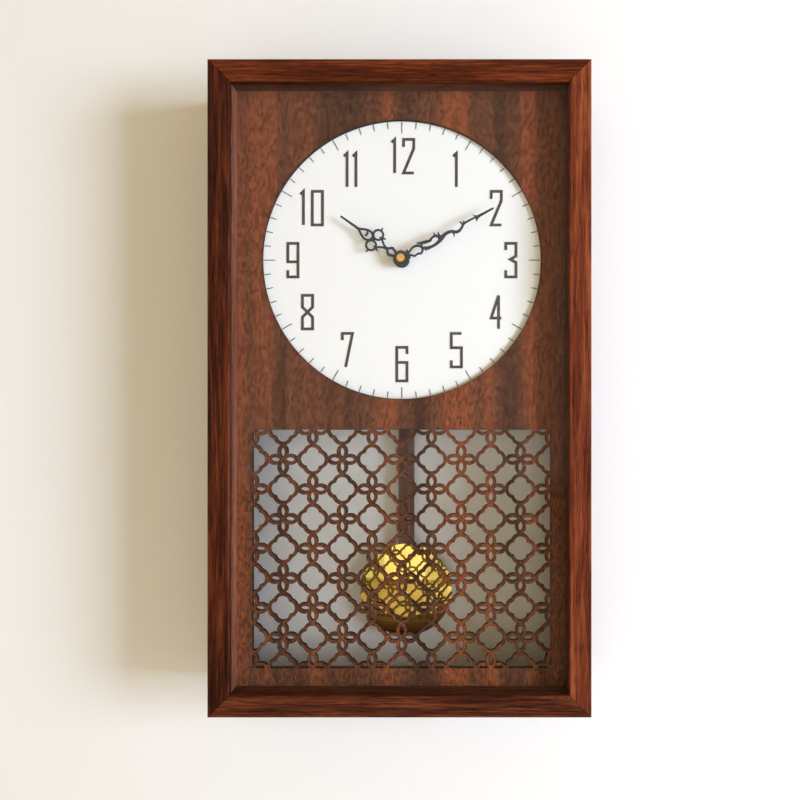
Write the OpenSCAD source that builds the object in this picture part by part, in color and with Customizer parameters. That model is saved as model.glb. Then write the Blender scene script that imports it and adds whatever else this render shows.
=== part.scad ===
// Wooden wall clock with a glazed front, a fretted panel, a quartz movement and a pendulum.
// Millimetres. +X is right and +Z is up as the clock is seen, and the front faces -Y.
// The origin is the round hole of the keyhole hanger, on the wall plane y = 0.
// Depths are counted back from the front of the case.

/* [Case] */
// Overall width
case_w = 280; // [260:1:320]
// Overall height
case_h = 480; // [460:1:560]
// Overall depth, front edge to wall
case_d = 76; // [74:1:110]
// Width of the front edge of each board
board_t = 16; // [13:0.5:20]
// Depth of the rebate behind the front lip
rebate = 5; // [3:0.5:6]
// Thickness of the front lip, in front of the glass
lip_t = 4; // [3:0.5:8]
// Chamfer on the front edges
edge_chamfer = 0.8; // [0.3:0.1:2]
// Depth of the recess behind the back board
back_recess = 4; // [3:0.5:6]
// Length of a mitre key across the joint
key_len = 8; // [5:0.5:9]
// Thickness of a mitre key
key_t = 3; // [2:0.5:4]

/* [Front] */
// Glass thickness
glass_t = 2; // [1.5:0.5:4]
// Depth of the strips between glass and panel
strip_d = 12; // [10:1:16]
// Panel thickness
panel_t = 3; // [2:0.5:5]
// Side of the square cleats behind the panel
cleat = 8; // [5:1:9]
// Gap around the glass, panel and back board
fit_gap = 0.5; // [0.3:0.1:1]

/* [Dial] */
// Diameter of the round window in the panel
dial_window_d = 210; // [190:1:212]
// Panel above the window
dial_top_margin = 22; // [17:0.5:30]
// Ring of dial plate hidden behind the panel
dial_overlap = 8; // [6:0.5:9]
// Dial plate thickness
dial_t = 2; // [1.5:0.5:3]
// Thickness of the numerals and ticks
mark_t = 0.3; // [0.2:0.1:0.5]
// Numeral height
figure_h = 27.5; // [20:0.5:30]
// Width of one digit
figure_w = 9.8; // [7:0.1:11]
// Width of a numeral's stroke
figure_stroke = 2.1; // [1.2:0.1:2.6]
// Numeral centres in from the window's edge, at the sides
figure_inset = 22.5; // [20:0.5:30]
// Length of an hour tick
hour_tick = 8.4; // [6:0.1:10]
// Length of a minute tick
minute_tick = 4.7; // [3:0.1:6]
// Width of a tick
tick_w = 0.6; // [0.5:0.1:1.2]

/* [Fret] */
// Panel left at each side of the fret
fret_margin = 12; // [8:0.5:20]
// Panel between the dial window and the fret
fret_gap = 23.2; // [18:0.2:30]
// Least panel below the fret
fret_bottom = 13; // [10:0.5:20]
// Fret cells across
fret_cols = 10; // [8:2:12]
// Width of the fret's bars
fret_bar = 2.5; // [2:0.1:3]

/* [Hands] */
// Minute hand, axis to tip
minute_len = 78.5; // [70:0.5:82]
// Hour hand, axis to tip
hour_len = 55.6; // [50:0.2:60]
// Hand thickness
hand_t = 0.6; // [0.4:0.1:1]
// Width of a hand's scrolls
scroll_w = 1.6; // [1:0.1:2]
// Hour shown
shown_hour = 10; // [0:1:11]
// Minutes shown
shown_minute = 10.25; // [0:0.25:59.75]

/* [Movement] */
// Room for a contact at each end of the battery
contact_room = 3.4; // [3:0.1:6]
// Movement above the hand axis
move_up = 38; // [37:1:45]
// Movement below the hand axis
move_down = 46; // [45:1:55]
// Movement depth
move_d = 24; // [24:0.5:28]
// Shell wall
shell_t = 2; // [1.5:0.5:2.5]
// Gasket thickness
gasket_t = 1; // [0.5:0.5:2]
// Radius of the threaded bush
bush_r = 4; // [3.8:0.1:5]
// Radius of the minute arbor
arbor_r = 1.75; // [1.5:0.05:1.8]
// Wall of the hour pipe
pipe_wall = 0.74; // [0.6:0.02:0.8]
// Radial clearance of every running fit
run_fit = 0.06; // [0.03:0.01:0.08]
// Radius of the small wheel pivots
pivot_r = 0.75; // [0.6:0.05:1]
// Setting knob radius
knob_r = 6; // [5:0.5:7]
// Battery diameter
battery_d = 14.5; // [14:0.1:14.5]
// Battery length, without its contact nub
battery_len = 49.2; // [48:0.1:49.5]

/* [Pendulum] */
// Pivot below the hand axis
pivot_drop = 28; // [26:1:30]
// Room between the bob and the bottom board
bob_clear = 29.5; // [20:0.5:60]
// Rod width
rod_w = 12.5; // [8:0.5:16]
// Rod thickness
rod_t = 4; // [3:0.5:6]
// Bob diameter
bob_d = 74; // [60:1:80]
// Bulge of the bob's front
bob_rise = 6; // [3:0.5:8]
// Wall of the bob's front shell
bob_wall = 1; // [0.8:0.1:2]

/* [Wall fixing] */
// Keyhole below the top of the case
hang_drop = 27; // [25:1:35]
// Height of the hanging rail
rail_h = 34; // [32:1:40]
// Depth of the hanging rail
rail_d = 18; // [14:1:20]
// Radius of the keyhole's round hole
keyhole_r = 4.5; // [4:0.1:5]
// Width of the keyhole's slot
keyhole_slot = 4.4; // [3:0.1:4.6]
// Thickness of the hanger plate
plate_t = 1.5; // [1:0.1:2]
// Back board thickness
back_t = 3; // [2:0.5:5]

/* [Hidden] */
$fn = 48;

// Extra length that carries a cut clear of a face
past = 1;

// Case planes
z_top = hang_drop;
z_bottom = z_top - case_h;
z_middle = (z_top + z_bottom) / 2;
wall_t = board_t - rebate;
inner_w = case_w - 2 * board_t;
room_w = case_w - 2 * wall_t;
room_h = case_h - 2 * wall_t;

// Depths, front to back
glass_s = lip_t;
strip_s = glass_s + glass_t;
panel_s = strip_s + strip_d;
dial_s = panel_s + panel_t;
gasket_s = dial_s + dial_t;
move_s = gasket_s + gasket_t;
move_end = move_s + move_d;
back_s = case_d - back_recess - back_t;

// Dial
dial_r = dial_window_d / 2;
dial_z = z_top - board_t - dial_top_margin - dial_r;
dial_screw_r = dial_r + dial_overlap / 2;
dial_screw_size = 1;
figure_rx = dial_r - figure_inset;
figure_ry = figure_rx - 3.8;
pair_in = 0.967;
minute_angle = 6 * shown_minute;
hour_angle = 30 * (shown_hour + shown_minute / 60);

// Fret
fret_w = inner_w - 2 * fret_margin;
cell = fret_w / fret_cols;
fret_top = dial_z - dial_r - fret_gap;
fret_rows = floor((fret_top - z_bottom - board_t - fret_bottom) / cell);
half = cell / 2;
lobe_offset = 0.384 * half;
lobe_inner = 0.4375 * half;
lobe_outer = lobe_inner + fret_bar;
petal_reach = half + 0.3 * fret_bar;
petal_half_w = 0.37 * half;
petal_hole_half_w = petal_half_w - fret_bar;
petal_hole_end = 0.85 * fret_bar;
flower_heart = 0.6 * fret_bar;

// Hand stack, counted back from the front
pipe_r = arbor_r + run_fit + pipe_wall;
bush_bore = pipe_r + run_fit;
nut_t = 2.5;
washer_t = 0.6;
bush_s = dial_s - washer_t - nut_t - 0.4;
hour_s = bush_s - 2.5;
minute_s = hour_s - 2.4;
cap_t = 3;
cap_r = 3;
thread_r = arbor_r - 0.35;

// Wheels: pressure angle, tooth height and thinning
pressure = 20;
addendum = 0.8;
dedendum = 1.05;
thin = 0.06;
motion_m = 0.375;
hour_m = 24 / 70;
train_m = 0.25;
wheel_t = 1.6;
layer = 3;
motion_at = [-10.39, 6];
knob_at = [-20.78, 0];
third_at = [11.69, 6.75];
fourth_at = [14.99, -5.57];
rotor_at = [17, -20];
hour_layer = move_s + shell_t + 1;
motion_layer = hour_layer + layer;
centre_layer = motion_layer + layer;
third_layer = centre_layer + layer;
fourth_layer = third_layer + layer;
shell_split = move_s + move_d / 2;
back_in = move_end - shell_t;
pivot_deep = 0.75 * shell_t;
knob_s = move_end + 1;
knob_t = 5;

// Movement: battery, motor and board
move_w = battery_len + 2 * contact_room + 2 * shell_t;
battery_z = move_up - shell_t - battery_d / 2 - 1;
battery_s = back_in - battery_d / 2 - 0.5;
bay_gap = 0.6;
nub_len = 1.3;
contact_t = 0.4;
stator_s = move_s + shell_t + 5;
stator_t = 1.6;
stator_bar = 2.4;
coil_z = rotor_at.y - 16;
coil_half = 8;
bobbin_r = 2.4;
flange_r = 3.8;
flange_t = 0.8;
board_s = back_in - 6;
board_thick = 1.2;
board_at = [-19, -28];
board_size = [16, 26];
crystal_r = 1.3;
crystal_len = 7;
magnet_drop = 8;
drive_r = 8;
drive_t = 5;

// Pendulum
pivot_z = dial_z - pivot_drop;
magnet_gap = 1.5;
magnet_t = 2.5;
magnet_r = 4;
arm_s = move_end + magnet_gap + magnet_t;
arm_t = 3;
arm_w = 10;
pin_r = 1.5;
clip_t = 0.8;
peg_r = 2;
peg_drop = move_down - pivot_drop + 10;
rod_s = arm_s + arm_t + 4;
eyelet_wall = 0.8;
bob_r = bob_d / 2;
bob_z = z_bottom + wall_t + bob_clear + bob_r;
bob_edge = 2;
bob_back_t = 3;
clamp_h = 10;
rod_top = pivot_z - peg_drop + 9;

// Wall fixing
plate_w = 44;
plate_up = 15;
plate_down = 11;
slot_up = 9;
hanger_screw_x = 15;
hanger_screw_r = 1.6;
hanger_head_r = 3;
hanger_deep = 9;
rail_z0 = z_top - wall_t - rail_h;
back_screw_r = 1.5;
window_w = move_w + 30;
window_up = move_up + 14;
window_down = move_down + 8;

// A flat outline in the front view, made solid between two depths
module slab(s0, s1) {
    translate([0, s1 - case_d, 0]) rotate([90, 0, 0]) linear_extrude(s1 - s0) children();
}

// A flat outline round a point of the movement or the dial
module dial_slab(s0, s1, at = [0, 0]) {
    slab(s0, s1) translate([at.x, dial_z + at.y]) children();
}

// A round rod along the depth, placed from the hand axis
module rod(r, s0, s1, at = [0, 0]) {
    dial_slab(s0, s1, at) circle(r);
}

// A rectangle in the front view, from corner to corner
module patch(x0, z0, x1, z1) {
    translate([x0, z0]) square([x1 - x0, z1 - z0]);
}

// Outline of a stroke of steady width along a line of points, with mitred bends
function unit(v) = v / norm(v);
function left_of(v) = [-v.y, v.x];
function bend(p, i) =
    let (a = unit(p[max(i, 1)] - p[max(i, 1) - 1]),
         b = unit(p[min(i + 1, len(p) - 1)] - p[min(i + 1, len(p) - 1) - 1]),
         n = unit(left_of(a + b)))
    n / max(0.4, n * left_of(a));
function stroke_points(p, w) = concat(
    [for (i = [0:len(p) - 1]) p[i] - bend(p, i) * w / 2],
    [for (i = [len(p) - 1:-1:0]) p[i] + bend(p, i) * w / 2]);
module stroke(p, w) {
    polygon(stroke_points(p, w));
}

// A smooth line through a few points
function curve_at(p, i, t) =
    let (a = p[max(i - 1, 0)], b = p[i], c = p[i + 1], d = p[min(i + 2, len(p) - 1)])
    0.5 * (2 * b + (c - a) * t + (2 * a - 5 * b + 4 * c - d) * t * t + (3 * b - a - 3 * c + d) * t * t * t);
function smooth(p, steps = 4) = concat(
    [for (i = [0:len(p) - 2], k = [0:steps - 1]) curve_at(p, i, k / steps)], [p[len(p) - 1]]);

// A smooth stroke through points [across, along, width], scaled by k along its length
function spots(q) = [for (p = q) [p.x, p.y]];
function swelled(p, k) = smooth([for (q = p) [k * q.x, k * q.y, q.z * scroll_w / 1.3]]);
function mirrored(p) = [for (q = p) [-q.x, q.y, q.z]];
module brush(p, k) {
    q = swelled(p, k);
    line = spots(q);
    polygon(concat(
        [for (i = [0:len(q) - 1]) line[i] - bend(line, i) * q[i].z / 2],
        [for (i = [len(q) - 1:-1:0]) line[i] + bend(line, i) * q[i].z / 2]));
}

// A ring in the front view
module ring(r, w) {
    difference() {
        circle(r + w / 2);
        circle(r - w / 2);
    }
}

// Toothed wheel outline with a tooth at the angle phase
function inv(a) = tan(a) - a * PI / 180;
function flank(r, base) = inv(acos(min(1, base / max(r, base)))) * 180 / PI;
function tooth_half(teeth, m, r) =
    let (pitch = teeth * m / 2, base = pitch * cos(pressure))
    90 / teeth - thin / 2 / pitch * 180 / PI + inv(pressure) * 180 / PI - flank(r, base);
module gear(teeth, m, phase = 0) {
    pitch = teeth * m / 2;
    radii = [pitch - dedendum * m, pitch, pitch + addendum * m];
    polygon([for (i = [0:teeth - 1], k = [-3, -2, -1, 1, 2, 3])
        let (r = radii[3 - abs(k)], a = phase + i * 360 / teeth + sign(k) * tooth_half(teeth, m, r))
        r * [cos(a), sin(a)]]);
}

// Phase that seats a wheel in the teeth of another, turned by its own phase
function heading(a, b) = atan2(b.y - a.y, b.x - a.x);
function mesh_phase(teeth, other, other_phase, from, to) =
    heading(from, to) + 180 - (180 - other * (heading(from, to) - other_phase)) / teeth;

// A wheel's staff with its two pivots, between the movement's shells
module staff(r, at) {
    rod(r, move_s + shell_t + 0.2, back_in - 0.2, at);
    rod(pivot_r, move_s + shell_t - pivot_deep + 0.2, back_in + pivot_deep - 0.2, at);
}
wheel_places = [third_at, fourth_at, rotor_at];

// Case

// Section of a case board: depth along x, thickness along y
module board_section(back_cut) {
    cut = back_cut ? rebate : 0;
    polygon([
        [0, edge_chamfer], [edge_chamfer, 0], [case_d, 0], [case_d, wall_t - cut],
        [back_s, wall_t - cut], [back_s, wall_t], [lip_t, wall_t], [lip_t, board_t],
        [edge_chamfer, board_t], [0, board_t - edge_chamfer]
    ]);
}

// A board along +X, its outer face at z = 0 and its inside downwards, mitred at both ends
module mitred_board(len, back_cut) {
    difference() {
        intersection() {
            translate([-len / 2, -case_d, 0]) rotate([90, 0, 90]) mirror([0, 1, 0])
                linear_extrude(len) board_section(back_cut);
            translate([0, past, 0]) rotate([90, 0, 0]) linear_extrude(case_d + 2 * past)
                polygon([[-len / 2, 0], [len / 2, 0],
                         [len / 2 - board_t, -board_t], [board_t - len / 2, -board_t]]);
        }
        for (side = [-1, 1]) translate([side * len / 2, 0, 0]) mitre_key(side);
    }
}

// A key across the mitre, seen from the outer corner at the right-hand end of a board
module mitre_key(side) {
    translate([-side * wall_t / 2, -case_d / 2, -wall_t / 2]) rotate([0, side * 45, 0])
        cube([key_len, case_d / 2, key_t], center = true);
}

module stained_wood() {
    color("#5a2614") children();
}

module case_top() {
    stained_wood() translate([0, 0, z_top]) mitred_board(case_w, false);
}

module case_bottom() {
    stained_wood() translate([0, 0, z_bottom]) mirror([0, 0, 1]) mitred_board(case_w, true);
}

module case_left() {
    stained_wood() translate([-case_w / 2, 0, z_middle]) rotate([0, -90, 0]) mitred_board(case_h, true);
}

module case_right() {
    stained_wood() translate([case_w / 2, 0, z_middle]) rotate([0, 90, 0]) mitred_board(case_h, true);
}

module mitre_keys() {
    color("#c8a77a") for (side = [-1, 1]) {
        translate([side * case_w / 2, 0, z_top]) mitre_key(side);
        translate([side * case_w / 2, 0, z_bottom]) mirror([0, 0, 1]) mitre_key(side);
    }
}

// Glass, strips, panel and cleats

// A sheet that fills the room inside the boards, less the gap around it
module room_sheet(gap) {
    translate([0, z_middle]) square([room_w - 2 * gap, room_h - 2 * gap], center = true);
}

// Bars round the inside of the boards: whole bars above and below, shorter ones at the sides
module side_bar(side, w, s0, s1) {
    slab(s0, s1) translate([side * (room_w - w) / 2, z_middle])
        square([w, room_h - 2 * w], center = true);
}
module end_bar(side, w, s0, s1) {
    slab(s0, s1) translate([0, z_middle + side * (room_h - w) / 2])
        square([room_w, w], center = true);
}

module front_glass() {
    color("#dfe8e6", 0.25) slab(glass_s, strip_s) room_sheet(fit_gap);
}

module strip_left() {
    stained_wood() side_bar(-1, rebate, strip_s, panel_s);
}
module strip_right() {
    stained_wood() side_bar(1, rebate, strip_s, panel_s);
}
module strip_top() {
    stained_wood() end_bar(1, rebate, strip_s, panel_s);
}
module strip_bottom() {
    stained_wood() end_bar(-1, rebate, strip_s, panel_s);
}

module cleat_left() {
    stained_wood() side_bar(-1, cleat, dial_s, dial_s + cleat);
}
module cleat_right() {
    stained_wood() side_bar(1, cleat, dial_s, dial_s + cleat);
}
module cleat_top() {
    stained_wood() end_bar(1, cleat, dial_s, dial_s + cleat);
}
module cleat_bottom() {
    stained_wood() end_bar(-1, cleat, dial_s, dial_s + cleat);
}

// Fret shapes, about their own grid point
module lens(x0, x1, half_w) {
    reach = (x1 - x0) / 2;
    r = (reach * reach + half_w * half_w) / (2 * half_w);
    intersection_for(side = [-1, 1]) translate([x0 + reach, side * (r - half_w)]) circle(r);
}
module quatrefoil(r) {
    for (turn = [0:90:270]) rotate(turn) translate([lobe_offset, 0]) circle(r);
    circle(lobe_offset + r / 3);
}
module petal_holes() {
    for (turn = [0:90:270]) rotate(turn) lens(petal_hole_end, half - petal_hole_end, petal_hole_half_w);
}

// The window between two flowers and two quatrefoils, with a flower at the upper left
module cell_window() {
    difference() {
        translate([0, -cell]) square(cell);
        translate([cell, 0]) quatrefoil(lobe_outer);
        translate([0, -cell]) quatrefoil(lobe_outer);
        for (corner = [[0, 0], [cell, -cell]]) translate(corner) circle(flower_heart);
        for (turn = [0, -90]) rotate(turn) lens(0, petal_reach, petal_half_w);
        translate([cell, -cell]) for (turn = [90, 180]) rotate(turn) lens(0, petal_reach, petal_half_w);
    }
}

// Every hole of the fret, with the upper left corner of the fret at the origin
module fret_holes() {
    for (i = [0:fret_cols - 1], j = [0:fret_rows - 1]) translate([i * cell, -j * cell])
        if ((i + j) % 2 == 0) cell_window();
        else translate([cell, 0]) mirror([1, 0]) cell_window();
    for (i = [0:fret_cols], j = [0:fret_rows]) {
        rim = i == 0 || j == 0 || i == fret_cols || j == fret_rows;
        if (rim) intersection() {
            translate([0, -fret_rows * cell]) square([fret_w, fret_rows * cell]);
            translate([i * cell, -j * cell]) grid_hole(i + j);
        }
        else translate([i * cell, -j * cell]) grid_hole(i + j);
    }
}
module grid_hole(parity) {
    if (parity % 2 == 0) petal_holes();
    else quatrefoil(lobe_inner);
}

module dial_screw_places() {
    for (turn = [45:90:315]) rotate(turn) translate([dial_screw_r, 0]) children();
}

module front_panel() {
    color("#6b432f") difference() {
        slab(panel_s, dial_s) difference() {
            room_sheet(fit_gap);
            translate([0, dial_z]) circle(dial_r);
            translate([-fret_w / 2, fret_top]) fret_holes();
        }
        dial_slab(panel_s + panel_t / 3, dial_s + past) dial_screw_places() circle(dial_screw_size);
    }
}

// Dial

module dial_plate() {
    color("#f4f3ef") dial_slab(dial_s, gasket_s) difference() {
        circle(dial_r + dial_overlap);
        circle(bush_r);
        dial_screw_places() circle(dial_screw_size);
    }
}

module dial_screws() {
    color("silver") {
        dial_slab(panel_s + panel_t / 3, gasket_s) dial_screw_places() circle(dial_screw_size);
        dial_slab(gasket_s, gasket_s + 1.2) dial_screw_places() circle(2.2 * dial_screw_size);
    }
}

// Digits as strokes in a box that reaches one each way from its middle, y up
function figure_strokes(d) =
    d == 1 ? [[[0, -1], [0, 1], [-0.62, 0.82]]] :
    d == 2 ? [[[-1, 0.55], [-1, 1], [1, 1], [1, 0.45], [-1, -1], [1, -1]]] :
    d == 3 ? [[[-1, 0.6], [-1, 1], [1, 1], [1, 0.24], [-0.1, 0.05], [1, -0.14],
               [1, -1], [-1, -1], [-1, -0.6]]] :
    d == 4 ? [[[0.45, 1], [-1, -0.35], [1, -0.35]], [[0.45, -1], [0.45, 1]]] :
    d == 5 ? [[[1, 1], [-1, 1], [-1, 0.15], [1, 0.15], [1, -1], [-1, -1], [-1, -0.6]]] :
    d == 6 ? [[[-1, -0.5], [-1, 1], [1, 1], [1, 0.6]]] :
    d == 7 ? [[[-1, 0.6], [-1, 1], [1, 1], [-0.35, -1]]] :
    d == 8 ? [[[0.2, 1], [-1, 1], [-1, 0.3], [1, -0.3], [1, -1], [-0.2, -1]],
              [[-0.2, 1], [1, 1], [1, 0.3], [-1, -0.3], [-1, -1], [0.2, -1]]] : [];
// Closed boxes of a digit, as their lower and upper edges
function figure_boxes(d) = d == 0 ? [[-1, 1]] : d == 6 ? [[-1, 0.1]] : [];
module figure(d) {
    size = [figure_w - figure_stroke, figure_h - figure_stroke] / 2;
    if (d == 9) rotate(180) figure(6);
    for (line = figure_strokes(d)) stroke([for (p = line) [p.x * size.x, p.y * size.y]], figure_stroke);
    for (ends = figure_boxes(d)) translate([0, (ends[0] + ends[1]) / 2 * size.y]) difference() {
        tall = (ends[1] - ends[0]) * size.y;
        square([figure_w, tall + figure_stroke], center = true);
        square([figure_w - 2 * figure_stroke, tall - figure_stroke], center = true);
    }
}
module numeral(n) {
    tens = floor(n / 10);
    ones = n % 10;
    pair_gap = figure_stroke * 2.2;
    flag = 0.18 * figure_w;
    if (tens == 0) figure(ones);
    else {
        ones_w = ones == 1 ? figure_stroke : figure_w;
        translate([flag - (ones_w + pair_gap) / 2, 0]) figure(tens);
        translate([flag + (figure_stroke + pair_gap) / 2, 0]) figure(ones);
    }
}

module hour_numerals() {
    color("#3b241d") for (n = [1:12])
        dial_slab(dial_s - mark_t, dial_s,
                  [(n < 10 ? 1 : pair_in) * figure_rx * sin(30 * n), figure_ry * cos(30 * n)]) numeral(n);
}

module minute_track() {
    color("#2a2320") for (n = [0:59]) {
        tick = n % 5 == 0 ? hour_tick : minute_tick;
        dial_slab(dial_s - mark_t, dial_s) rotate(-6 * n)
            translate([-tick_w / 2, dial_r - 0.4 - tick]) square([tick_w, tick]);
    }
}

// Back

back_w = room_w + 2 * rebate - 2 * fit_gap;
back_z0 = z_bottom + wall_t - rebate + fit_gap;
back_z1 = rail_z0 - fit_gap;
back_screw_x = back_w / 2 - rebate / 2;

module back_screw_places() {
    for (x = [-back_screw_x, back_screw_x], z = [0.06, 0.36, 0.66, 0.94])
        translate([x, back_z0 + z * (back_z1 - back_z0)]) children();
    for (x = [-back_w / 4, back_w / 4]) translate([x, back_z0 + rebate / 2]) children();
}

module back_board() {
    color("#f2f1ee") slab(back_s, back_s + back_t) difference() {
        patch(-back_w / 2, back_z0, back_w / 2, back_z1);
        patch(-window_w / 2, dial_z - window_down, window_w / 2, dial_z + window_up);
        back_screw_places() circle(back_screw_r);
    }
}

module back_screws() {
    color("silver") {
        slab(back_s, back_s + back_t) back_screw_places() circle(back_screw_r);
        slab(back_s + back_t, back_s + back_t + 1.4) back_screw_places() circle(1.6 * back_screw_r);
    }
}

// Keyhole outline: a round hole with a narrower slot above it, each wider by grow
module keyhole(grow = 0) {
    circle(keyhole_r + grow);
    patch(-keyhole_slot / 2 - grow, 0, keyhole_slot / 2 + grow, slot_up);
    translate([0, slot_up]) circle(keyhole_slot / 2 + grow);
}
module plate_outline() {
    patch(-plate_w / 2, -plate_down, plate_w / 2, plate_up);
}

module hanging_rail() {
    stained_wood() difference() {
        slab(case_d - rail_d, case_d) patch(-room_w / 2, rail_z0, room_w / 2, rail_z0 + rail_h);
        slab(case_d - plate_t, case_d + past) plate_outline();
        slab(case_d - plate_t - hanger_deep, case_d) keyhole(2);
        hanger_screw_shanks();
    }
}

module hanger_screw_shanks() {
    for (x = [-hanger_screw_x, hanger_screw_x])
        slab(case_d - plate_t - hanger_deep, case_d) translate([x, 0]) circle(hanger_screw_r);
}
module hanger_screw_heads() {
    for (x = [-hanger_screw_x, hanger_screw_x]) translate([x, -plate_t, 0]) rotate([-90, 0, 0])
        cylinder(h = plate_t, r1 = hanger_screw_r, r2 = hanger_head_r);
}

module hanger_plate() {
    color("goldenrod") difference() {
        slab(case_d - plate_t, case_d) difference() {
            plate_outline();
            keyhole();
        }
        hanger_screw_heads();
    }
}

module hanger_screws() {
    color("silver") {
        hanger_screw_shanks();
        hanger_screw_heads();
    }
}

// Movement shells

module move_outline(grow) {
    patch(-move_w / 2 - grow, -move_down - grow, move_w / 2 + grow, move_up + grow);
}
module bay_outline(grow) {
    translate([0, battery_z])
        square([battery_len + 2 * nub_len + 2 * grow, battery_d + 2 * grow], center = true);
}

module movement_front() {
    color("#20211f") difference() {
        union() {
            dial_slab(move_s, move_s + shell_t) move_outline(0);
            dial_slab(move_s, shell_split) difference() {
                move_outline(0);
                move_outline(-shell_t);
            }
            rod(bush_r, bush_s, move_s);
            for (z = [-1, 1]) rod(1.2, move_s, board_s, board_at + [0, z * (board_size.y / 2 - 2)]);
            for (x = [-1, 1]) rod(1.2, move_s, stator_s, rotor_at + [x * 6, -6]);
            rod(pivot_r + 1.2, move_s, move_s + shell_t + 0.1, rotor_at);
            rod(pivot_r + 1, move_s, hour_layer - 0.1, motion_at);
            rod(pivot_r, move_s, motion_layer + wheel_t + 0.4, motion_at);
        }
        rod(bush_bore, bush_s - past, move_s + shell_t + past);
        for (at = wheel_places)
            rod(pivot_r + run_fit, move_s + shell_t - pivot_deep, move_s + shell_t + past, at);
        rod(pivot_r + run_fit, move_s + shell_t - pivot_deep, move_s + shell_t + past, knob_at);
    }
}

module movement_back() {
    color("#272826") difference() {
        union() {
            dial_slab(back_in, move_end) move_outline(0);
            dial_slab(shell_split, move_end) difference() {
                move_outline(0);
                move_outline(-shell_t);
            }
            rod(pin_r + 2, back_in, arm_s - 0.4, [0, -pivot_drop]);
        }
        rod(arbor_r - 0.5 + run_fit, back_in - past, back_in + pivot_deep);
        for (at = wheel_places) rod(pivot_r + run_fit, back_in - past, back_in + pivot_deep, at);
        rod(2 * pivot_r + run_fit, back_in - past, move_end + past, knob_at);
        rod(pin_r, back_in - past, arm_s, [0, -pivot_drop]);
        dial_slab(back_in - past, move_end + past) bay_outline(bay_gap);
    }
}

module movement_gasket() {
    color("#1a1a1a") dial_slab(gasket_s, move_s) ring(bush_r + 4, 8);
}
module bush_washer() {
    color("goldenrod") dial_slab(dial_s - washer_t, dial_s) ring(bush_r + 0.9, 1.8);
}
module bush_nut() {
    color("goldenrod") dial_slab(dial_s - washer_t - nut_t, dial_s - washer_t) difference() {
        circle(bush_r + 1.7, $fn = 6);
        circle(bush_r);
    }
}

// Motion work and train

module minute_arbor() {
    color("goldenrod") {
        rod(arbor_r, minute_s + hand_t, back_in - 0.2);
        rod(thread_r, minute_s - cap_t + 1, minute_s + hand_t);
        rod(arbor_r - 0.5, back_in - past, back_in + pivot_deep - 0.2);
        dial_slab(motion_layer, motion_layer + wheel_t) gear(16, motion_m);
        dial_slab(centre_layer, centre_layer + wheel_t) gear(96, train_m);
    }
}

module motion_wheel() {
    color("#e8e2cf") difference() {
        union() {
            dial_slab(motion_layer, motion_layer + wheel_t, motion_at)
                gear(48, motion_m, mesh_phase(48, 16, 0, [0, 0], motion_at));
            dial_slab(hour_layer, hour_layer + wheel_t, motion_at) gear(14, hour_m);
            rod(pivot_r + 0.8, hour_layer, motion_layer + wheel_t, motion_at);
        }
        rod(pivot_r + run_fit, hour_layer - past, motion_layer + wheel_t + past, motion_at);
    }
}

module hour_wheel() {
    color("#e8e2cf") difference() {
        union() {
            dial_slab(hour_layer, hour_layer + wheel_t)
                gear(56, hour_m, mesh_phase(56, 14, 0, motion_at, [0, 0]));
            rod(pipe_r, hour_s, hour_layer + wheel_t);
        }
        rod(arbor_r + run_fit, hour_s - past, hour_layer + wheel_t + past);
    }
}

module setting_knob() {
    color("#d8d6cf") {
        rod(pivot_r, move_s + shell_t - pivot_deep + 0.2, motion_layer, knob_at);
        dial_slab(motion_layer, motion_layer + wheel_t, knob_at)
            gear(16, motion_m,
                 mesh_phase(16, 48, mesh_phase(48, 16, 0, [0, 0], motion_at), motion_at, knob_at));
        rod(2 * pivot_r, motion_layer, knob_s, knob_at);
        dial_slab(knob_s, knob_s + knob_t, knob_at) gear(30, 2 * (knob_r - 0.3) / 30);
    }
}

module third_wheel() {
    color("#e8e2cf") {
        staff(1.1, third_at);
        dial_slab(centre_layer, centre_layer + wheel_t, third_at)
            gear(12, train_m, mesh_phase(12, 96, 0, [0, 0], third_at));
        dial_slab(third_layer, third_layer + wheel_t, third_at) gear(90, train_m);
    }
}

module fourth_wheel() {
    color("#e8e2cf") {
        staff(1.1, fourth_at);
        dial_slab(third_layer, third_layer + wheel_t, fourth_at)
            gear(12, train_m, mesh_phase(12, 90, 0, third_at, fourth_at));
        dial_slab(fourth_layer, fourth_layer + wheel_t, fourth_at) gear(60, train_m);
    }
}

// Motor

rotor_r = 3;
rotor_gap = 0.6;

module motor_rotor() {
    color("#4a4a4a") {
        staff(1.1, rotor_at);
        rod(rotor_r, stator_s - 0.5, stator_s + stator_t + 0.5, rotor_at);
    }
}

// Two poles round the rotor, joined by the bar that carries the coil
module motor_stator() {
    color("#8d8f92") dial_slab(stator_s, stator_s + stator_t) difference() {
        union() {
            translate(rotor_at) patch(-coil_half - stator_bar, -8, coil_half + stator_bar, 5.5);
            for (x = [-1, 1])
                translate([rotor_at.x + x * (coil_half + stator_bar / 2), (rotor_at.y + coil_z) / 2])
                    square([stator_bar, rotor_at.y - coil_z + stator_bar], center = true);
            translate([rotor_at.x, coil_z])
                square([2 * coil_half + 2 * stator_bar, stator_bar], center = true);
        }
        translate(rotor_at) circle(rotor_r + rotor_gap);
    }
}

// Turned shapes on the coil's bar, which runs along X
module on_bar(x0, x1, r) {
    translate([rotor_at.x + x0, stator_s + stator_t / 2 - case_d, dial_z + coil_z]) rotate([0, 90, 0])
        cylinder(h = x1 - x0, r = r);
}

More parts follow.
